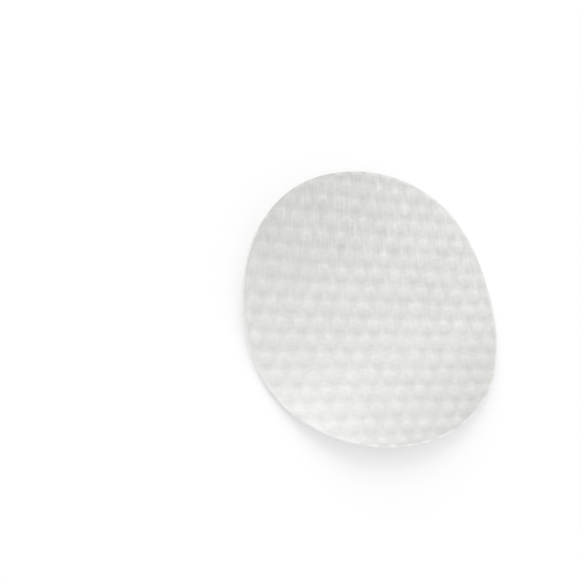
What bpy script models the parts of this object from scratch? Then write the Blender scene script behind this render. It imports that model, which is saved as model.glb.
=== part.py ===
"""A round cotton pad, die-cut from white nonwoven web that is embossed all over with small domed dots.

The web is one piece: a flat sheet with staggered rows of dots pushed up out of its face, and a shallow
hollow left in its back below each dot. A cutting die pinches the web a little along the edge and cuts
through whatever dots lie there, and the disc relaxes to an outline that isn't quite round. The pad lies
face up on a table. Its middle rests flat, and its edge curls up at the front, where it levels off again
towards the rim, at the back left, and a little at the back.

The frame is +Z up with the origin on the table, below the middle of the pad's outline. The rows of dots
run along X, and the fibres of the web run mostly along Y.
"""

import math

import bmesh
import bpy
from mathutils import Vector
from mathutils.geometry import delaunay_2d_cdt
from mathutils.kdtree import KDTree

MM = 0.001

# The cut disc and its web
PAD_DIAMETER = 58.0 * MM
WEB_THICKNESS = 0.7 * MM
RIM_THICKNESS = 0.66 * MM
RIM_WIDTH = 0.7 * MM

# The embossed dots, in rows along X that are staggered by half a pitch
DOT_PITCH = 4.0 * MM
ROW_SPACING = 3.5 * MM
DOT_DIAMETER = 3.8 * MM
DOT_HEIGHT = 0.2 * MM
HOLLOW_DIAMETER = 2.8 * MM
HOLLOW_DEPTH = 0.15 * MM

# The die cuts without regard to the pattern: this is the dot nearest to the disc's centre
FIRST_DOT_X = 1.6 * MM
FIRST_DOT_Y = 0.0 * MM

# The web is cut while it is stretched, and relaxes to a disc that isn't quite round: its edge swells by so
# much at two, three and four evenly spaced places, of which one lies at the heading
OVAL_SWELL = 0.19 * MM
OVAL_HEADING = math.radians(-69.0)
THREE_CORNER_SWELL = 0.38 * MM
THREE_CORNER_HEADING = math.radians(59.0)
FOUR_CORNER_SWELL = 0.47 * MM
FOUR_CORNER_HEADING = math.radians(-41.0)

# Each bend is an arc that starts along a straight line across the pad. Its heading is the way from the
# disc's centre out over that line, counted from +X towards +Y, and its start is how far out. A radius
# below zero bends the web back down
FRONT_CURL_HEADING = math.radians(-71.0)
FRONT_CURL_START = 2.0 * MM
FRONT_CURL_RADIUS = 65.0 * MM
FRONT_LIP_HEADING = math.radians(-60.0)
FRONT_LIP_START = 11.3 * MM
FRONT_LIP_RADIUS = -43.0 * MM
LEFT_CURL_HEADING = math.radians(143.0)
LEFT_CURL_START = 2.0 * MM
LEFT_CURL_RADIUS = 103.0 * MM
BACK_CURL_HEADING = math.radians(103.0)
BACK_CURL_START = 2.0 * MM
BACK_CURL_RADIUS = 250.0 * MM

# How finely the faces are divided. The rings round a dot lie at these shares of its radius
RIM_COUNT = 144
PINCH_COUNT = 72
DOT_RING_SHARES = (0.4, 0.8)
DOT_RING_COUNTS = (6, 10)
HOLLOW_RING_SHARES = (1.0,)
HOLLOW_RING_COUNTS = (6,)
CLEAR_OF_RING = 0.3 * MM
SAME_POINT = 0.01 * MM

# The faces are shaded smooth, except where they meet at more than this angle
SHARP_ANGLE = math.radians(50.0)

COTTON_COLOUR = (0.83, 0.83, 0.80, 1.0)
COTTON_ROUGHNESS = 0.95


def clear_scene():
    for obj in list(bpy.data.objects):
        bpy.data.objects.remove(obj)


def cut_radius(heading):
    """How far the cut edge lies from the disc's centre at a heading."""
    radius = PAD_DIAMETER / 2
    radius += OVAL_SWELL * math.cos(2 * (heading - OVAL_HEADING))
    radius += THREE_CORNER_SWELL * math.cos(3 * (heading - THREE_CORNER_HEADING))
    radius += FOUR_CORNER_SWELL * math.cos(4 * (heading - FOUR_CORNER_HEADING))
    return radius


def from_cut(point):
    """How far a point lies inside the cut edge, measured towards the disc's centre."""
    return cut_radius(math.atan2(point.y, point.x)) - point.length


def dot_centres():
    """The middle of every dot that lies inside the disc, or not much outside it."""
    reach = (PAD_DIAMETER + DOT_DIAMETER) / 2
    rows = math.ceil(reach / ROW_SPACING) + 1
    columns = math.ceil(reach / DOT_PITCH) + 1
    centres = []
    for row in range(-rows, rows + 1):
        stagger = DOT_PITCH / 2 if row % 2 else 0.0
        for column in range(-columns, columns + 1):
            centre = Vector((FIRST_DOT_X + stagger + column * DOT_PITCH, FIRST_DOT_Y + row * ROW_SPACING))
            if centre.length < reach:
                centres.append(centre)
    return centres


def tree_of(points):
    tree = KDTree(len(points))
    for index, point in enumerate(points):
        tree.insert(point.to_3d(), index)
    tree.balance()
    return tree


def dome(share):
    """Height of a dot's domed section as a share of its full height, at a share of its radius."""
    return (1.0 - share * share) ** 2 if share < 1.0 else 0.0


def rim_share(point):
    """0 at the cut edge, rising smoothly to 1 where the die no longer pinches the web."""
    inside = min(1.0, max(0.0, from_cut(point) / RIM_WIDTH))
    return inside * inside * (3.0 - 2.0 * inside)


def face_height(point, dots):
    """Height of the embossed face over the web's flat back."""
    from_dot = (dots.find(point.to_3d())[0].to_2d() - point).length
    full = WEB_THICKNESS + DOT_HEIGHT * dome(from_dot / (DOT_DIAMETER / 2))
    return RIM_THICKNESS + (full - RIM_THICKNESS) * rim_share(point)


def back_height(point, dots):
    """Height of the back, which is 0 except in the hollow below each dot."""
    from_dot = (dots.find(point.to_3d())[0].to_2d() - point).length
    return HOLLOW_DEPTH * dome(from_dot / (HOLLOW_DIAMETER / 2)) * rim_share(point)


def ring(centre, radius, count):
    """Evenly spaced points on a circle. The first one lies half a step past +X."""
    turns = (2 * math.pi * (i + 0.5) / count for i in range(count))
    return [centre + radius * Vector((math.cos(turn), math.sin(turn))) for turn in turns]


def edge_ring(inset, count):
    """Points at an even pace round the disc, all as far inside its cut edge."""
    turns = [2 * math.pi * i / count for i in range(count)]
    return [(cut_radius(turn) - inset) * Vector((math.cos(turn), math.sin(turn))) for turn in turns]


def disc_points(centres, diameter, shares, counts):
    """The rim, the line where the pinch of the die ends, and each dot's middle and rings."""
    pattern = []
    for centre in centres:
        pattern.append(centre)
        for share, count in zip(shares, counts):
            pattern += ring(centre, share * diameter / 2, count)
    clear = [
        p
        for p in pattern
        if from_cut(p) > CLEAR_OF_RING and abs(from_cut(p) - RIM_WIDTH) > CLEAR_OF_RING
    ]
    return edge_ring(0.0, RIM_COUNT) + edge_ring(RIM_WIDTH, PINCH_COUNT) + clear


def disc_triangles(points):
    """The triangles that join the points over the disc, with the points as the triangulation has them."""
    made = delaunay_2d_cdt(points, [], [list(range(RIM_COUNT))], 1, SAME_POINT)
    return made[0], made[2]


def curled(point, height):
    """Where a point of the flat web goes once it is bent, at a height over its back."""
    at = point.to_3d()
    slope = Vector((0.0, 0.0))
    for heading, start, radius in (
        (FRONT_CURL_HEADING, FRONT_CURL_START, FRONT_CURL_RADIUS),
        (FRONT_LIP_HEADING, FRONT_LIP_START, FRONT_LIP_RADIUS),
        (LEFT_CURL_HEADING, LEFT_CURL_START, LEFT_CURL_RADIUS),
        (BACK_CURL_HEADING, BACK_CURL_START, BACK_CURL_RADIUS),
    ):
        outwards = Vector((math.cos(heading), math.sin(heading)))
        along = point.dot(outwards) - start
        if along <= 0.0:
            continue
        angle = along / radius
        at += outwards.to_3d() * (radius * math.sin(angle) - along)
        at.z += radius * (1.0 - math.cos(angle))
        slope += outwards * math.tan(angle)
    normal = Vector((-slope.x, -slope.y, 1.0)).normalized()
    return at + normal * height


def add_side(bm, centres, points, height_of, upwards):
    """One face of the web as triangles in bm. Returns its rim's vertices in order round the disc."""
    dots = tree_of(centres)
    points, triangles = disc_triangles(points)
    verts = [bm.verts.new(curled(p, height_of(p, dots))) for p in points]
    for triangle in triangles:
        a, b, c = (points[i] for i in triangle)
        counter_clockwise = (b - a).cross(c - a) > 0
        corners = triangle if counter_clockwise == upwards else triangle[::-1]
        bm.faces.new([verts[i] for i in corners])
    return verts[:RIM_COUNT]


def cotton_material():
    material = bpy.data.materials.new("white_cotton_nonwoven")
    material.use_nodes = True
    shader = material.node_tree.nodes["Principled BSDF"]
    shader.inputs["Base Color"].default_value = COTTON_COLOUR
    shader.inputs["Roughness"].default_value = COTTON_ROUGHNESS
    shader.inputs["Metallic"].default_value = 0.0
    return material


def make_pad():
    centres = dot_centres()
    bm = bmesh.new()
    face_points = disc_points(centres, DOT_DIAMETER, DOT_RING_SHARES, DOT_RING_COUNTS)
    back_points = disc_points(centres, HOLLOW_DIAMETER, HOLLOW_RING_SHARES, HOLLOW_RING_COUNTS)
    face_rim = add_side(bm, centres, face_points, face_height, upwards=True)
    back_rim = add_side(bm, centres, back_points, back_height, upwards=False)
    for i in range(RIM_COUNT):
        after = (i + 1) % RIM_COUNT
        bm.faces.new((back_rim[i], back_rim[after], face_rim[after], face_rim[i]))

    low = Vector([min(v.co[axis] for v in bm.verts) for axis in range(3)])
    high = Vector([max(v.co[axis] for v in bm.verts) for axis in range(3)])
    middle = (low + high) / 2
    bmesh.ops.translate(bm, verts=bm.verts, vec=(-middle.x, -middle.y, 0.0))

    mesh = bpy.data.meshes.new("cotton_pad")
    bm.to_mesh(mesh)
    bm.free()
    mesh.shade_smooth()
    mesh.set_sharp_from_angle(angle=SHARP_ANGLE)
    mesh.materials.append(cotton_material())
    pad = bpy.data.objects.new("cotton_pad", mesh)
    bpy.context.scene.collection.objects.link(pad)
    return pad


clear_scene()
make_pad()
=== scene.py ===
"""Looks of a round cotton pad that lies face up on a white table.

The pad is one sheet of spunlace cotton, embossed with staggered rows of small domed dots and cut to a disc by
a round die. Everything is in metres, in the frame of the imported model: +Z up, the table at zero, and the
origin below the middle of the pad's outline.
"""

import math

import bpy
from bpy.props import FloatProperty, FloatVectorProperty, IntProperty, PointerProperty
from mathutils import Matrix, Quaternion, Vector


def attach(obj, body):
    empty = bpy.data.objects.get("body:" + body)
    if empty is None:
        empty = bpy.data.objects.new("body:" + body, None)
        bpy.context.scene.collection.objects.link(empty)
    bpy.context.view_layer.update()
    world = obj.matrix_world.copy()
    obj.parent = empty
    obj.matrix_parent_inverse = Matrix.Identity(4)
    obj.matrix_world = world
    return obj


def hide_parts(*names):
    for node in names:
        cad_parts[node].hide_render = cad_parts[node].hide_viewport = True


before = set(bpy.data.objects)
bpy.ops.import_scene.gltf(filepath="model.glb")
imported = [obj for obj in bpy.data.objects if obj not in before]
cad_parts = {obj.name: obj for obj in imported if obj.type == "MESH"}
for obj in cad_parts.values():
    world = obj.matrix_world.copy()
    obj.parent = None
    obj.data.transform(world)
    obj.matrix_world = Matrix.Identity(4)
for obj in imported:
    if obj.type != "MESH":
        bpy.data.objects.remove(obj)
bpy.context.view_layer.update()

bl_info = {
    "name": "Cotton Pad",
    "version": (1, 0, 0),
    "blender": (4, 5, 0),
    "location": "3D View > Sidebar > Cotton Pad",
    "description": "Makes an embossed round cotton pad and the table that it lies on",
    "category": "Add Mesh",
}

MM = 0.001
NODE = "cotton_pad"
SLOT = "white_cotton_nonwoven"

WHITE = (1.0, 1.0, 1.0, 1.0)

# A size's kind of property, and the kind of input that it has in the node trees
SOCKET_TYPES = {"FLOAT": "NodeSocketFloat", "INT": "NodeSocketInt"}

# Each dot's height and width lie between these shares of the full size. The squarer, the flatter its top
DOT_HEIGHT_SHARES = (0.74, 1.1)
DOT_WIDTH_SHARES = (0.84, 0.97)
DOT_SQUARENESS = 3.5

# The cut wall has a few levels of mesh and bulges out a little at half height. The pad is shaded smooth,
# except where faces meet at more than the sharp angle
RIM_LEVELS = 5
RIM_BULGE = 0.07 * MM
SHARP_ANGLE = math.radians(55.0)

# Patterns of the web, each as waves per metre across the fibres, which is along X, and along them, on Y.
# Bundles of fibres are 0.5 to 1 mm wide and several millimetres long, tangles are about 1 mm across, and
# clouds of fuller web 6 to 9 mm. One cotton fibre is about 0.015 mm thick, too fine to show, so the stray
# ones are drawn up to 0.45 mm wide and those of the surface up to 0.22 mm
STRAND_SCALE = (1 / (0.9 * MM), 1 / (7.0 * MM), 0.0)
STREAK_SCALE = (1 / (0.6 * MM), 1 / (5.0 * MM), 0.0)
TANGLE_SCALE = (1 / (1.6 * MM), 1 / (0.6 * MM), 0.0)
CLOUD_SCALE = (1 / (6.0 * MM), 1 / (9.0 * MM), 0.0)
STRAY_SCALE = (1 / (0.45 * MM), 1 / (4.0 * MM), 0.0)
FIBRE_SCALE = (1 / (0.22 * MM), 1 / (1.8 * MM), 0.0)

# How each pattern is drawn: the detail and roughness of its noise, and where given, how much finer each
# level of detail is, and the distortion. Such a noise lies between 0 and 1, round the middle
STRAND_NOISE = (2.0, 0.55)
STREAK_NOISE = (3.0, 0.6, 2.0, 0.4)
TANGLE_NOISE = (2.0, 0.6)
CLOUD_NOISE = (2.0, 0.5)
STRAY_NOISE = (1.0, 0.5, 2.0, 0.6)
FIBRE_NOISE = (2.0, 0.6, 2.0, 0.8)
COCKLE_NOISE = (1.0, 0.4)
NOISE_MIDDLE = 0.5

# How full the web is: 0 where it is thin, 1 where it is full. It lies about the mean, and the patterns add
# to it or take from it by their shares. A stray fibre shows where its noise is in the span
MEAN_FULLNESS = 0.5
CLOUD_SHARE = 0.26
TANGLE_SHARE = 0.38
STRAY_SPAN = (0.6, 0.78)
STRAY_SHARE = 0.4

# Painted light and shade on the cut edge: it is painted whiter towards the front right, which faces away from
# the window, and greyer towards the back, which faces it. Its tone at either end of the span, which is
# measured from the disc's centre along the heading
PAINTED_EDGE_LIGHT_HEADING = (0.4, -0.92, 0.0)
PAINTED_EDGE_LIGHT_SPAN = (-29.0 * MM, 29.0 * MM)
PAINTED_EDGE_LIGHT = (0.1, 1.15)

# The streaks show more towards the back: the share of them at either end of the span along the heading
COMBED_HEADING = (0.26, 0.97, 0.0)
COMBED_SPAN = (-16.0 * MM, 16.0 * MM)
COMBED_SHARES = (0.2, 0.66)

# Painted light and shade: the web's tone is painted lighter on its left at the front and on its right at the
# back, and darker on the other side. The rates are the rise in that painted tone for each metre of X, at the
# front end of the span and at the back
PAINTED_SHADE_SPAN = (-29.0 * MM, 29.0 * MM)
PAINTED_SHADE_RATES = (-0.3 / (29.0 * MM), 0.11 / (29.0 * MM))

# Relief of single fibres, drawn about twice as high as they are thick, and how strongly it shows
FIBRE_HEIGHT = 0.03 * MM
FIBRE_STRENGTH = 0.5

# The photograph's frame is square. A long lens took it from above the pad's front left, rolled on its axis.
# The camera looks at a point on the table, given in X and Y
SENSOR_WIDTH = 36.0
LENS = 85.0
CAMERA_TARGET = (-17.08 * MM, 3.38 * MM)
CAMERA_DISTANCE = 264.9 * MM
CAMERA_LEAN = math.radians(29.9)
CAMERA_HEADING = math.radians(-146.2)
CAMERA_ROLL = math.radians(54.6)

# Light: a white room, and a broad window beyond the pad's back, a little to its left. The camera sees the
# table with a glow added, which makes it as white as the room
TABLE_WIDTH = 3.0
TABLE_GLOW = 0.45
ROOM_STRENGTH = 0.775
KEY_STRENGTH = 1.58
KEY_SPREAD = math.radians(50.0)
KEY_LEAN = math.radians(-62.0)
KEY_HEADING = math.radians(18.0)


def linear(hex_colour):
    """An sRGB hex colour such as #E9E9E4 as linear red, green and blue."""
    shares = [int(hex_colour[i : i + 2], 16) / 255 for i in (1, 3, 5)]
    return [c / 12.92 if c <= 0.04045 else ((c + 0.055) / 1.055) ** 2.4 for c in shares]


class PadSizes(bpy.types.PropertyGroup):
    """Sizes of the pad. Every one of them is also a named input of the pad's node trees."""

    diameter: FloatProperty(
        name="Diameter",
        description="Across the cut disc while it is flat",
        default=58.0 * MM,
        unit="LENGTH",
    )
    web_thickness: FloatProperty(
        name="Web Thickness", description="Thickness between the dots", default=0.7 * MM, unit="LENGTH"
    )
    rim_thickness: FloatProperty(
        name="Rim Thickness", description="Thickness of the cut edge", default=0.66 * MM, unit="LENGTH"
    )
    rim_width: FloatProperty(
        name="Rim Width", description="How far in the die pinches the web", default=0.7 * MM, unit="LENGTH"
    )
    dot_pitch: FloatProperty(
        name="Dot Pitch", description="From dot to dot along a row", default=4.0 * MM, unit="LENGTH"
    )
    row_spacing: FloatProperty(
        name="Row Spacing", description="From one row of dots to the next", default=3.5 * MM, unit="LENGTH"
    )
    dot_diameter: FloatProperty(
        name="Dot Diameter", description="Across the foot of a dot", default=3.8 * MM, unit="LENGTH"
    )
    dot_height: FloatProperty(
        name="Dot Height", description="From the web to a dot's top", default=0.2 * MM, unit="LENGTH"
    )
    hollow_diameter: FloatProperty(
        name="Hollow Diameter",
        description="Across the hollow behind a dot",
        default=2.8 * MM,
        unit="LENGTH",
    )
    hollow_depth: FloatProperty(
        name="Hollow Depth",
        description="Depth of the hollow behind a dot",
        default=0.15 * MM,
        unit="LENGTH",
    )
    first_dot_x: FloatProperty(
        name="First Dot X", description="Dot nearest to the disc's centre", default=1.6 * MM, unit="LENGTH"
    )
    first_dot_y: FloatProperty(
        name="First Dot Y", description="Dot nearest to the disc's centre", default=0.0 * MM, unit="LENGTH"
    )
    dot_wander: FloatProperty(
        name="Dot Wander",
        description="How far a dot strays from its place",
        default=0.22 * MM,
        unit="LENGTH",
    )
    cockle: FloatProperty(
        name="Cockle", description="Height of the web's slack waves", default=0.35 * MM, unit="LENGTH"
    )
    cockle_length: FloatProperty(
        name="Cockle Length",
        description="From one slack wave to the next",
        default=17.0 * MM,
        unit="LENGTH",
    )
    strand: FloatProperty(
        name="Strand Height",
        description="Height of the bundles of fibres",
        default=0.05 * MM,
        unit="LENGTH",
    )
    oval_swell: FloatProperty(
        name="Oval Swell",
        description="How far the cut edge swells at two places",
        default=0.19 * MM,
        unit="LENGTH",
    )
    oval_heading: FloatProperty(
        name="Oval Heading",
        description="Where one of the two lies",
        default=math.radians(-69.0),
        unit="ROTATION",
    )
    three_corner_swell: FloatProperty(
        name="Three Corner Swell",
        description="Swell of the cut edge at three places",
        default=0.38 * MM,
        unit="LENGTH",
    )
    three_corner_heading: FloatProperty(
        name="Three Corner Heading",
        description="Where one of the three lies",
        default=math.radians(59.0),
        unit="ROTATION",
    )
    four_corner_swell: FloatProperty(
        name="Four Corner Swell",
        description="Swell of the cut edge at four places",
        default=0.47 * MM,
        unit="LENGTH",
    )
    four_corner_heading: FloatProperty(
        name="Four Corner Heading",
        description="Where one of the four lies",
        default=math.radians(-41.0),
        unit="ROTATION",
    )
    front_curl_heading: FloatProperty(
        name="Front Curl Heading",
        description="Way out to the front curl",
        default=math.radians(-71.0),
        unit="ROTATION",
    )
    front_curl_start: FloatProperty(
        name="Front Curl Start",
        description="From the centre to the front curl",
        default=2.0 * MM,
        unit="LENGTH",
    )
    front_curl_radius: FloatProperty(
        name="Front Curl Radius", description="Radius of the front curl", default=65.0 * MM, unit="LENGTH"
    )
    front_lip_heading: FloatProperty(
        name="Front Lip Heading",
        description="Way out to the front lip",
        default=math.radians(-60.0),
        unit="ROTATION",
    )
    front_lip_start: FloatProperty(
        name="Front Lip Start",
        description="From the centre to the front lip",
        default=11.3 * MM,
        unit="LENGTH",
    )
    front_lip_radius: FloatProperty(
        name="Front Lip Radius",
        description="Radius of the front lip, below 0 as it bends down",
        default=-43.0 * MM,
        unit="LENGTH",
    )
    left_curl_heading: FloatProperty(
        name="Left Curl Heading",
        description="Way out to the left curl",
        default=math.radians(143.0),
        unit="ROTATION",
    )
    left_curl_start: FloatProperty(
        name="Left Curl Start",
        description="From the centre to the left curl",
        default=2.0 * MM,
        unit="LENGTH",
    )
    left_curl_radius: FloatProperty(
        name="Left Curl Radius", description="Radius of the left curl", default=103.0 * MM, unit="LENGTH"
    )
    back_curl_heading: FloatProperty(
        name="Back Curl Heading",
        description="Way out to the back curl",
        default=math.radians(103.0),
        unit="ROTATION",
    )
    back_curl_start: FloatProperty(
        name="Back Curl Start",
        description="From the centre to the back curl",
        default=2.0 * MM,
        unit="LENGTH",
    )
    back_curl_radius: FloatProperty(
        name="Back Curl Radius", description="Radius of the back curl", default=250.0 * MM, unit="LENGTH"
    )
    fineness: IntProperty(name="Fineness", description="Mesh points across the disc", default=214)
    seed: IntProperty(name="Seed", description="Seed of every random draw", default=4)


class PadLook(bpy.types.PropertyGroup):
    """Colours of the cotton and of the table."""

    cotton: FloatVectorProperty(
        name="Full Web",
        description="Bleached cotton where the web is full",
        default=linear("#F4F4F3"),
        subtype="COLOR",
    )
    cotton_thin: FloatVectorProperty(
        name="Thin Web",
        description="Cotton where the web is thin",
        default=linear("#CBCBC7"),
        subtype="COLOR",
    )
    table: FloatVectorProperty(
        name="Table", description="White table top", default=linear("#FFFFFF"), subtype="COLOR"
    )


def result(node):
    """A node's first output that its settings leave in use."""
    return next(socket for socket in node.outputs if socket.enabled)


def add_node(tree, kind, *values, **settings):
    """Adds a node with its settings. The values fill its sockets in order, and None leaves one as it is.

    A socket is linked, and a node stands for its result.
    """
    made = tree.nodes.new(kind)
    for name, value in settings.items():
        setattr(made, name, value)
    for socket, value in zip([s for s in made.inputs if s.enabled], values):
        if isinstance(value, bpy.types.Node):
            value = result(value)
        if isinstance(value, bpy.types.NodeSocket):
            tree.links.new(value, socket)
        elif value is not None:
            socket.default_value = value
    return made


def size_properties(sizes):
    """The sizes, each of which is also an input of the node trees."""
    return [p for p in sizes.bl_rna.properties if p.type in SOCKET_TYPES and not p.is_readonly]


def new_tree(name, sizes, inputs, outputs):
    """A geometry tree with inputs of its own and one for each size.

    Returns the tree, its inputs and its output node.
    """
    tree = bpy.data.node_groups.new(name, "GeometryNodeTree")
    for title, kind in inputs:
        tree.interface.new_socket(title, in_out="INPUT", socket_type=kind)
    for p in size_properties(sizes):
        socket = tree.interface.new_socket(p.name, in_out="INPUT", socket_type=SOCKET_TYPES[p.type])
        socket.default_value = p.default
    for title, kind in outputs:
        tree.interface.new_socket(title, in_out="OUTPUT", socket_type=kind)
    return tree, tree.nodes.new("NodeGroupInput").outputs, tree.nodes.new("NodeGroupOutput")


def web_pattern(tree, flat, scale, noise):
    """One of the web's patterns, drawn on the flat web, so that it follows the web round its curls."""
    stretched = add_node(tree, "ShaderNodeVectorMath", flat, scale, operation="MULTIPLY")
    return add_node(tree, "ShaderNodeTexNoise", stretched, 1.0, *noise)


def cut_radius(tree, size, place):
    """How far the cut edge lies from the disc's centre, on the line from there through a place."""
    radius = add_node(tree, "ShaderNodeMath", size["Diameter"], 0.5, operation="MULTIPLY")
    plan = add_node(tree, "ShaderNodeSeparateXYZ", place)
    heading = add_node(tree, "ShaderNodeMath", plan.outputs["Y"], plan.outputs["X"], operation="ARCTAN2")
    for name, count in (("Oval", 2.0), ("Three Corner", 3.0), ("Four Corner", 4.0)):
        past = add_node(tree, "ShaderNodeMath", heading, size[name + " Heading"], operation="SUBTRACT")
        past = add_node(tree, "ShaderNodeMath", past, count, operation="MULTIPLY")
        share = add_node(tree, "ShaderNodeMath", past, operation="COSINE")
        swell = add_node(tree, "ShaderNodeMath", share, size[name + " Swell"], operation="MULTIPLY")
        radius = add_node(tree, "ShaderNodeMath", radius, swell, operation="ADD")
    return radius


def dot_lattice(tree, size):
    """Points at the dots' centres: two oblong grids, the second staggered, with each dot a little astray."""
    two_rows = add_node(tree, "ShaderNodeMath", size["Row Spacing"], 2.0, operation="MULTIPLY")
    spans = []
    counts = []
    # On either side of the middle, as many steps as it takes to pass the disc's edge
    for step in (size["Dot Pitch"], two_rows):
        half = add_node(tree, "ShaderNodeMath", size["Diameter"], step, operation="DIVIDE")
        half = add_node(tree, "ShaderNodeMath", half, 0.5, 1.0, operation="MULTIPLY_ADD")
        half = add_node(tree, "ShaderNodeMath", half, operation="CEIL")
        whole = add_node(tree, "ShaderNodeMath", half, 2.0, operation="MULTIPLY")
        spans.append(add_node(tree, "ShaderNodeMath", whole, step, operation="MULTIPLY"))
        counts.append(add_node(tree, "ShaderNodeMath", whole, 1.0, operation="ADD"))
    grid = add_node(tree, "GeometryNodeMeshGrid", *spans, *counts)
    first = add_node(tree, "ShaderNodeCombineXYZ", size["First Dot X"], size["First Dot Y"])
    half_pitch = add_node(tree, "ShaderNodeMath", size["Dot Pitch"], 0.5, operation="MULTIPLY")
    stagger = add_node(tree, "ShaderNodeCombineXYZ", half_pitch, size["Row Spacing"])
    second = add_node(tree, "ShaderNodeVectorMath", first, stagger, operation="ADD")
    both = tree.nodes.new("GeometryNodeJoinGeometry")
    for place in (first, second):
        rows = add_node(tree, "GeometryNodeTransform", grid, place)
        tree.links.new(result(rows), both.inputs[0])
    high = add_node(tree, "ShaderNodeCombineXYZ", size["Dot Wander"], size["Dot Wander"])
    low = add_node(tree, "ShaderNodeVectorMath", high, -1.0, operation="SCALE")
    stray = add_node(tree, "FunctionNodeRandomValue", low, high, None, size["Seed"], data_type="FLOAT_VECTOR")
    return add_node(tree, "GeometryNodeSetPosition", both, None, None, stray)


def dome(tree, offset, diameter, widen):
    """Height of a dot as a share of its full height: a flattish dome that runs out into a soft foot."""
    radius = add_node(tree, "ShaderNodeMath", diameter, 0.5, operation="MULTIPLY")
    radius = add_node(tree, "ShaderNodeMath", radius, widen, operation="MULTIPLY")
    away = add_node(tree, "ShaderNodeVectorMath", offset, operation="LENGTH")
    share = add_node(tree, "ShaderNodeMath", away, radius, operation="DIVIDE", use_clamp=True)
    power = add_node(tree, "ShaderNodeMath", share, DOT_SQUARENESS, operation="POWER")
    fall = add_node(tree, "ShaderNodeMath", 1.0, power, operation="SUBTRACT")
    return add_node(tree, "ShaderNodeMath", fall, 2.0, operation="POWER")


def curl(tree, flat, at, slope, heading, start, radius):
    """Bends the web up along an arc, from a line across the pad on.

    Returns where the web's points go, and the slopes that it then has along X and Y.
    """
    x = add_node(tree, "ShaderNodeMath", heading, operation="COSINE")
    y = add_node(tree, "ShaderNodeMath", heading, operation="SINE")
    outwards = add_node(tree, "ShaderNodeCombineXYZ", x, y)
    along = add_node(tree, "ShaderNodeVectorMath", flat, outwards, operation="DOT_PRODUCT")
    along = add_node(tree, "ShaderNodeMath", along, start, operation="SUBTRACT")
    along = add_node(tree, "ShaderNodeMath", along, 0.0, operation="MAXIMUM")
    angle = add_node(tree, "ShaderNodeMath", along, radius, operation="DIVIDE")
    sine = add_node(tree, "ShaderNodeMath", angle, operation="SINE")
    run = add_node(tree, "ShaderNodeMath", sine, radius, operation="MULTIPLY")
    run = add_node(tree, "ShaderNodeMath", run, along, operation="SUBTRACT")
    shift = add_node(tree, "ShaderNodeVectorMath", outwards, run, operation="SCALE")
    cosine = add_node(tree, "ShaderNodeMath", angle, operation="COSINE")
    rise = add_node(tree, "ShaderNodeMath", 1.0, cosine, operation="SUBTRACT")
    rise = add_node(tree, "ShaderNodeMath", rise, radius, operation="MULTIPLY")
    lift = add_node(tree, "ShaderNodeCombineXYZ", None, None, rise)
    at = add_node(tree, "ShaderNodeVectorMath", at, shift, operation="ADD")
    at = add_node(tree, "ShaderNodeVectorMath", at, lift, operation="ADD")
    tangent = add_node(tree, "ShaderNodeMath", angle, operation="TANGENT")
    steeper = add_node(tree, "ShaderNodeVectorMath", outwards, tangent, operation="SCALE")
    return at, add_node(tree, "ShaderNodeVectorMath", slope, steeper, operation="ADD")


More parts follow.
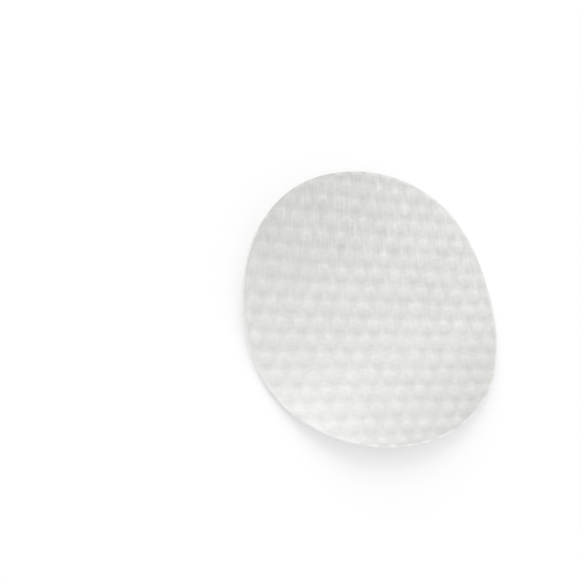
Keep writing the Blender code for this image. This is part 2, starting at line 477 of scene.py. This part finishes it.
def web_tree(sizes):
    """The rule that takes a point of the flat web to its place on the pad.

    Through is 0 at the web's back and 1 at its face. Inside is 0 at the cut edge, and 1 past the die's pinch.
    """
    tree, size, end = new_tree(
        "Embossed Web",
        sizes,
        inputs=[("Flat", "NodeSocketVector"), ("Through", "NodeSocketFloat")],
        outputs=[("Position", "NodeSocketVector"), ("Inside", "NodeSocketFloat")],
    )
    flat = size["Flat"]

    dots = dot_lattice(tree, size)
    nearest = add_node(tree, "GeometryNodeSampleNearest", dots, flat)
    place = tree.nodes.new("GeometryNodeInputPosition")
    centre = add_node(tree, "GeometryNodeSampleIndex", dots, place, nearest, data_type="FLOAT_VECTOR")
    offset = add_node(tree, "ShaderNodeVectorMath", flat, centre, operation="SUBTRACT")
    draw = (*DOT_HEIGHT_SHARES, nearest, size["Seed"])
    taller = add_node(tree, "FunctionNodeRandomValue", *draw, data_type="FLOAT")
    other_seed = add_node(tree, "ShaderNodeMath", size["Seed"], 1.0, operation="ADD")
    draw = (*DOT_WIDTH_SHARES, nearest, other_seed)
    wider = add_node(tree, "FunctionNodeRandomValue", *draw, data_type="FLOAT")

    from_centre = add_node(tree, "ShaderNodeVectorMath", flat, operation="LENGTH")
    inside = add_node(tree, "ShaderNodeMath", cut_radius(tree, size, flat), from_centre, operation="SUBTRACT")
    unpinched = add_node(
        tree, "ShaderNodeMapRange", inside, 0.0, size["Rim Width"], interpolation_type="SMOOTHSTEP"
    )

    relief = dome(tree, offset, size["Dot Diameter"], wider)
    relief = add_node(tree, "ShaderNodeMath", relief, taller, operation="MULTIPLY")
    relief = add_node(tree, "ShaderNodeMath", relief, size["Dot Height"], operation="MULTIPLY")
    strands = web_pattern(tree, flat, STRAND_SCALE, STRAND_NOISE)
    strands = add_node(tree, "ShaderNodeMath", strands, size["Strand Height"], operation="MULTIPLY")
    full = add_node(tree, "ShaderNodeMath", size["Web Thickness"], relief, operation="ADD")
    full = add_node(tree, "ShaderNodeMath", full, strands, operation="ADD")
    face = add_node(tree, "ShaderNodeMix", unpinched, size["Rim Thickness"], full, data_type="FLOAT")
    hollow = dome(tree, offset, size["Hollow Diameter"], wider)
    hollow = add_node(tree, "ShaderNodeMath", hollow, size["Hollow Depth"], operation="MULTIPLY")
    back = add_node(tree, "ShaderNodeMath", hollow, unpinched, operation="MULTIPLY")
    height = add_node(tree, "ShaderNodeMix", size["Through"], back, face, data_type="FLOAT")

    wave_scale = add_node(tree, "ShaderNodeMath", 1.0, size["Cockle Length"], operation="DIVIDE")
    place_and_noise = (flat, size["Seed"], wave_scale, *COCKLE_NOISE)
    waves = add_node(tree, "ShaderNodeTexNoise", *place_and_noise, noise_dimensions="4D")
    waves = add_node(tree, "ShaderNodeMath", waves, size["Cockle"], operation="MULTIPLY")

    at, slope = flat, None
    for bend in ("Front Curl", "Front Lip", "Left Curl", "Back Curl"):
        arc = [size[f"{bend} {part}"] for part in ("Heading", "Start", "Radius")]
        at, slope = curl(tree, flat, at, slope, *arc)
    upright = add_node(tree, "ShaderNodeVectorMath", (0.0, 0.0, 1.0), slope, operation="SUBTRACT")
    normal = add_node(tree, "ShaderNodeVectorMath", upright, operation="NORMALIZE")
    out = add_node(tree, "ShaderNodeVectorMath", normal, height, operation="SCALE")
    at = add_node(tree, "ShaderNodeVectorMath", at, out, operation="ADD")
    lift = add_node(tree, "ShaderNodeCombineXYZ", None, None, waves)
    at = add_node(tree, "ShaderNodeVectorMath", at, lift, operation="ADD")
    tree.links.new(result(at), end.inputs["Position"])
    tree.links.new(result(unpinched), end.inputs["Inside"])
    return tree


def on_web(tree, size, sizes, web, flat, through):
    """The web rule inside another tree, with the same sizes."""
    rule = add_node(tree, "GeometryNodeGroup", flat, through, node_tree=web)
    for p in size_properties(sizes):
        tree.links.new(size[p.name], rule.inputs[p.name])
    return rule


def round_plan(tree, square):
    """Takes a point of the square from -1 to 1 to the unit disc, so that faces of even area stay even."""
    plan = add_node(tree, "ShaderNodeSeparateXYZ", square)
    u, v = plan.outputs["X"], plan.outputs["Y"]
    wide = add_node(tree, "ShaderNodeMath", u, operation="ABSOLUTE")
    deep = add_node(tree, "ShaderNodeMath", v, operation="ABSOLUTE")
    steep = add_node(tree, "FunctionNodeCompare", deep, wide, data_type="FLOAT", operation="GREATER_THAN")
    main = add_node(tree, "GeometryNodeSwitch", steep, u, v, input_type="FLOAT")
    other = add_node(tree, "GeometryNodeSwitch", steep, v, u, input_type="FLOAT")
    turn = add_node(tree, "ShaderNodeMath", other, main, operation="DIVIDE")
    turn = add_node(tree, "ShaderNodeMath", turn, math.pi / 4, operation="MULTIPLY")
    cosine = add_node(tree, "ShaderNodeMath", turn, operation="COSINE")
    sine = add_node(tree, "ShaderNodeMath", turn, operation="SINE")
    ahead = add_node(tree, "ShaderNodeMath", main, cosine, operation="MULTIPLY")
    aside = add_node(tree, "ShaderNodeMath", main, sine, operation="MULTIPLY")
    x = add_node(tree, "GeometryNodeSwitch", steep, ahead, aside, input_type="FLOAT")
    y = add_node(tree, "GeometryNodeSwitch", steep, aside, ahead, input_type="FLOAT")
    return add_node(tree, "ShaderNodeCombineXYZ", x, y)


def pad_tree(sizes, web):
    """The pad: a gridded block made round, thin and flat, and then taken to its place by the web rule."""
    tree, size, end = new_tree(
        "Cotton Pad",
        sizes,
        inputs=[("Cotton", "NodeSocketMaterial")],
        outputs=[("Geometry", "NodeSocketGeometry")],
    )
    fine = size["Fineness"]
    block = add_node(tree, "GeometryNodeMeshCube", (2.0, 2.0, 2.0), fine, fine, RIM_LEVELS)
    corner = tree.nodes.new("GeometryNodeInputPosition")
    level = add_node(tree, "ShaderNodeSeparateXYZ", corner)
    through = add_node(tree, "ShaderNodeMath", level.outputs["Z"], 0.5, 0.5, operation="MULTIPLY_ADD")
    named = add_node(tree, "GeometryNodeStoreNamedAttribute", block, None, "through", through)
    from_middle = add_node(tree, "ShaderNodeMath", level.outputs["Z"], 2.0, operation="POWER")
    set_in = add_node(tree, "ShaderNodeMath", from_middle, RIM_BULGE, operation="MULTIPLY")
    plan = round_plan(tree, corner)
    reach = add_node(tree, "ShaderNodeMath", cut_radius(tree, size, plan), set_in, operation="SUBTRACT")
    flat = add_node(tree, "ShaderNodeVectorMath", plan, reach, operation="SCALE")
    named = add_node(
        tree, "GeometryNodeStoreNamedAttribute", named, None, "flat", flat, data_type="FLOAT_VECTOR"
    )
    flat = add_node(tree, "GeometryNodeInputNamedAttribute", "flat", data_type="FLOAT_VECTOR")
    through = add_node(tree, "GeometryNodeInputNamedAttribute", "through", data_type="FLOAT")
    rule = on_web(tree, size, sizes, web, flat, through)
    inside = rule.outputs["Inside"]
    named = add_node(tree, "GeometryNodeStoreNamedAttribute", named, None, "inside", inside)
    placed = add_node(tree, "GeometryNodeSetPosition", named, None, rule.outputs["Position"])
    smooth = add_node(tree, "GeometryNodeSetShadeSmooth", placed, None, True)
    whole = add_node(tree, "GeometryNodeRealizeInstances", smooth)
    cotton = add_node(tree, "GeometryNodeSetMaterial", whole, None, size["Cotton"])
    tree.links.new(result(cotton), end.inputs["Geometry"])
    return tree


def grown(name, tree, values):
    """A plain mesh object that a geometry tree makes. The values fill the tree's inputs by their names."""
    seedling = bpy.data.objects.new(name + "_seedling", bpy.data.meshes.new(name + "_seedling"))
    bpy.context.scene.collection.objects.link(seedling)
    modifier = seedling.modifiers.new(name, "NODES")
    modifier.node_group = tree
    for socket in tree.interface.items_tree:
        if socket.in_out == "INPUT" and socket.name in values:
            modifier[socket.identifier] = values[socket.name]
    evaluated = seedling.evaluated_get(bpy.context.evaluated_depsgraph_get())
    mesh = bpy.data.meshes.new_from_object(evaluated)
    mesh.name = name
    bpy.data.objects.remove(seedling)
    if not mesh.polygons:
        raise RuntimeError(f"{tree.name} made no faces for {name}")
    made = bpy.data.objects.new(name, mesh)
    bpy.context.scene.collection.objects.link(made)
    return made


def cotton_material(look):
    """Bleached spunlace cotton: matt and soft, with a faint bloom where loose fibres catch the light.

    Bundles of fibres run along the web's length as pale streaks. The web is a little greyer where it is thin.
    Painted light and shade go into the same colour: lighter on the web's left at the front and on its right
    at the back, and on the cut edge lighter at the front right and greyer at the back.
    """
    material = bpy.data.materials.new(SLOT)
    material.use_nodes = True
    tree = material.node_tree
    shader = tree.nodes["Principled BSDF"]
    flat = add_node(tree, "ShaderNodeAttribute", attribute_name="flat").outputs["Vector"]

    combed = add_node(tree, "ShaderNodeVectorMath", flat, COMBED_HEADING, operation="DOT_PRODUCT")
    combed = add_node(tree, "ShaderNodeMapRange", combed, *COMBED_SPAN, *COMBED_SHARES)
    streaks = web_pattern(tree, flat, STREAK_SCALE, STREAK_NOISE)
    streaks = add_node(tree, "ShaderNodeMath", streaks, NOISE_MIDDLE, operation="SUBTRACT")
    strays = web_pattern(tree, flat, STRAY_SCALE, STRAY_NOISE)
    strays = add_node(tree, "ShaderNodeMapRange", strays, *STRAY_SPAN, 0.0, STRAY_SHARE)
    streaks = add_node(tree, "ShaderNodeMath", streaks, strays, operation="ADD")
    streaks = add_node(tree, "ShaderNodeMath", streaks, combed, operation="MULTIPLY")

    clouds = web_pattern(tree, flat, CLOUD_SCALE, CLOUD_NOISE)
    clouds = add_node(tree, "ShaderNodeMath", clouds, NOISE_MIDDLE, operation="SUBTRACT")
    fullness_and_painted_shade = add_node(tree, "ShaderNodeMath", clouds, CLOUD_SHARE, MEAN_FULLNESS, operation="MULTIPLY_ADD")
    # Painted shade: the tone is painted lighter towards the left at the front and towards the right at the
    # back
    plan = add_node(tree, "ShaderNodeSeparateXYZ", flat)
    painted_shade_rate = add_node(tree, "ShaderNodeMapRange", plan.outputs["Y"], *PAINTED_SHADE_SPAN, *PAINTED_SHADE_RATES)
    fullness_and_painted_shade = add_node(tree, "ShaderNodeMath", plan.outputs["X"], painted_shade_rate, fullness_and_painted_shade, operation="MULTIPLY_ADD")
    fullness_and_painted_shade = add_node(tree, "ShaderNodeMath", fullness_and_painted_shade, streaks, operation="ADD")
    tangles = web_pattern(tree, flat, TANGLE_SCALE, TANGLE_NOISE)
    tangles = add_node(tree, "ShaderNodeMath", tangles, NOISE_MIDDLE, operation="SUBTRACT")
    fullness_and_painted_shade = add_node(tree, "ShaderNodeMath", tangles, TANGLE_SHARE, fullness_and_painted_shade, operation="MULTIPLY_ADD")

    inside = add_node(tree, "ShaderNodeAttribute", attribute_name="inside").outputs["Fac"]
    # Painted light and shade on the cut edge: whiter towards the front right, greyer towards the back
    edge = add_node(tree, "ShaderNodeVectorMath", flat, PAINTED_EDGE_LIGHT_HEADING, operation="DOT_PRODUCT")
    edge = add_node(tree, "ShaderNodeMapRange", edge, *PAINTED_EDGE_LIGHT_SPAN, *PAINTED_EDGE_LIGHT)
    fullness_and_painted_shade = add_node(tree, "ShaderNodeMix", inside, edge, fullness_and_painted_shade, data_type="FLOAT")
    thin, full = (*look.cotton_thin, 1.0), (*look.cotton, 1.0)
    colour = add_node(tree, "ShaderNodeMix", fullness_and_painted_shade, thin, full, data_type="RGBA")
    tree.links.new(result(colour), shader.inputs["Base Color"])

    fibres = web_pattern(tree, flat, FIBRE_SCALE, FIBRE_NOISE)
    bump = add_node(tree, "ShaderNodeBump", FIBRE_STRENGTH, FIBRE_HEIGHT, None, fibres)
    tree.links.new(result(bump), shader.inputs["Normal"])

    # The fibres lie every way, so there is hardly any gloss, and light spreads among them before it leaves
    shader.inputs["Roughness"].default_value = 0.95
    shader.inputs["IOR"].default_value = 1.45
    shader.inputs["Specular IOR Level"].default_value = 0.2
    shader.inputs["Sheen Weight"].default_value = 0.25
    shader.inputs["Sheen Roughness"].default_value = 0.6
    shader.inputs["Subsurface Weight"].default_value = 1.0
    shader.inputs["Subsurface Radius"].default_value = (1.0, 1.0, 1.0)
    shader.inputs["Subsurface Scale"].default_value = 0.4 * MM
    return material


def seen_directly(tree):
    """1 on rays of the camera, also on those that a mirror or glass sends on, and 0 on the light's own."""
    path = tree.nodes.new("ShaderNodeLightPath")
    seen = path.outputs["Is Camera Ray"]
    for kind in ("Is Glossy Ray", "Is Transmission Ray"):
        seen = add_node(tree, "ShaderNodeMath", seen, path.outputs[kind], operation="MAXIMUM")
    return seen


def table_material(look):
    """White lacquered board, matt enough to show no reflection.

    The camera sees it, and the shadow on it, paler than they are.
    """
    material = bpy.data.materials.new("white_table_top")
    material.use_nodes = True
    tree = material.node_tree
    shader = tree.nodes["Principled BSDF"]
    shader.inputs["Base Color"].default_value = (*look.table, 1.0)
    shader.inputs["Roughness"].default_value = 1.0
    shader.inputs["Specular IOR Level"].default_value = 0.0
    glow = add_node(tree, "ShaderNodeEmission", WHITE, 1.0)
    share = add_node(tree, "ShaderNodeMath", seen_directly(tree), TABLE_GLOW, operation="MULTIPLY")
    mixed = add_node(tree, "ShaderNodeMixShader", share, shader, glow)
    tree.links.new(result(mixed), tree.nodes["Material Output"].inputs["Surface"])
    return material


def settle(pad):
    """Puts the pad on the table, with the middle of its outline over the origin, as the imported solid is."""
    corners = [Vector(corner) for corner in pad.bound_box]
    low = Vector([min(c[axis] for c in corners) for axis in range(3)])
    high = Vector([max(c[axis] for c in corners) for axis in range(3)])
    middle = (low + high) / 2
    pad.data.transform(Matrix.Translation((-middle.x, -middle.y, -low.z)))


class COTTONPAD_OT_make_pad(bpy.types.Operator):
    """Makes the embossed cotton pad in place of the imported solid"""

    bl_idname = "cottonpad.make_pad"
    bl_label = "Make Cotton Pad"

    def execute(self, context):
        sizes = context.scene.cotton_pad_sizes
        values = {p.name: getattr(sizes, p.identifier) for p in size_properties(sizes)}
        values["Cotton"] = cotton_material(context.scene.cotton_pad_look)
        pad = grown("embossed_cotton_pad", pad_tree(sizes, web_tree(sizes)), values)
        settle(pad)
        pad.data.set_sharp_from_angle(angle=SHARP_ANGLE)
        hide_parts(NODE)
        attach(pad, "root")
        return {"FINISHED"}


class COTTONPAD_OT_make_stage(bpy.types.Operator):
    """Makes the white table, the light and the camera"""

    bl_idname = "cottonpad.make_stage"
    bl_label = "Make Table, Light and Camera"

    def execute(self, context):
        scene = context.scene
        half = TABLE_WIDTH / 2
        corners = [(-half, -half, 0.0), (half, -half, 0.0), (half, half, 0.0), (-half, half, 0.0)]
        mesh = bpy.data.meshes.new("table_top")
        mesh.from_pydata(corners, [], [(0, 1, 2, 3)])
        mesh.materials.append(table_material(scene.cotton_pad_look))
        table = bpy.data.objects.new("table_top", mesh)
        scene.collection.objects.link(table)

        lamp = bpy.data.lights.new("soft_window", "SUN")
        lamp.energy = KEY_STRENGTH
        lamp.angle = KEY_SPREAD
        window = bpy.data.objects.new("soft_window", lamp)
        window.rotation_euler = (KEY_LEAN, 0.0, KEY_HEADING)
        scene.collection.objects.link(window)

        world = bpy.data.worlds.new("white_room")
        world.use_nodes = True
        tree = world.node_tree
        room = tree.nodes["Background"]
        room.inputs["Color"].default_value = WHITE
        room.inputs["Strength"].default_value = ROOM_STRENGTH
        backdrop = add_node(tree, "ShaderNodeBackground", WHITE, 1.0)
        mixed = add_node(tree, "ShaderNodeMixShader", seen_directly(tree), room, backdrop)
        tree.links.new(result(mixed), tree.nodes["World Output"].inputs["Surface"])
        scene.world = world

        lens = bpy.data.cameras.new("camera")
        lens.lens = LENS
        lens.sensor_width = SENSOR_WIDTH
        camera = bpy.data.objects.new("camera", lens)
        heading = Vector((math.cos(CAMERA_HEADING), math.sin(CAMERA_HEADING), 0.0))
        up = Vector((0.0, 0.0, 1.0))
        back = heading * math.sin(CAMERA_LEAN) + up * math.cos(CAMERA_LEAN)
        camera.location = Vector((*CAMERA_TARGET, 0.0)) + back * CAMERA_DISTANCE
        camera.rotation_mode = "QUATERNION"
        camera.rotation_quaternion = (-back).to_track_quat("-Z", "Y") @ Quaternion(up, CAMERA_ROLL)
        scene.collection.objects.link(camera)
        scene.camera = camera
        scene.view_settings.view_transform = "Standard"
        return {"FINISHED"}


class COTTONPAD_PT_panel(bpy.types.Panel):
    """Lists the pad's pieces and sizes"""

    bl_label = "Cotton Pad"
    bl_idname = "COTTONPAD_PT_panel"
    bl_space_type = "VIEW_3D"
    bl_region_type = "UI"
    bl_category = "Cotton Pad"

    def draw(self, context):
        layout = self.layout
        for step in STEPS:
            layout.operator(step.bl_idname)
        for group in (context.scene.cotton_pad_sizes, context.scene.cotton_pad_look):
            box = layout.box()
            for p in group.bl_rna.properties:
                if not p.is_readonly and p.identifier != "name":
                    box.prop(group, p.identifier)


STEPS = (COTTONPAD_OT_make_pad, COTTONPAD_OT_make_stage)
CLASSES = (PadSizes, PadLook, *STEPS, COTTONPAD_PT_panel)


def register():
    for made in CLASSES:
        bpy.utils.register_class(made)
    bpy.types.Scene.cotton_pad_sizes = PointerProperty(type=PadSizes)
    bpy.types.Scene.cotton_pad_look = PointerProperty(type=PadLook)


def unregister():
    del bpy.types.Scene.cotton_pad_look
    del bpy.types.Scene.cotton_pad_sizes
    for made in reversed(CLASSES):
        bpy.utils.unregister_class(made)


def main():
    register()
    bpy.ops.cottonpad.make_pad()
    bpy.ops.cottonpad.make_stage()
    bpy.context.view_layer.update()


if __name__ == "__main__":
    main()
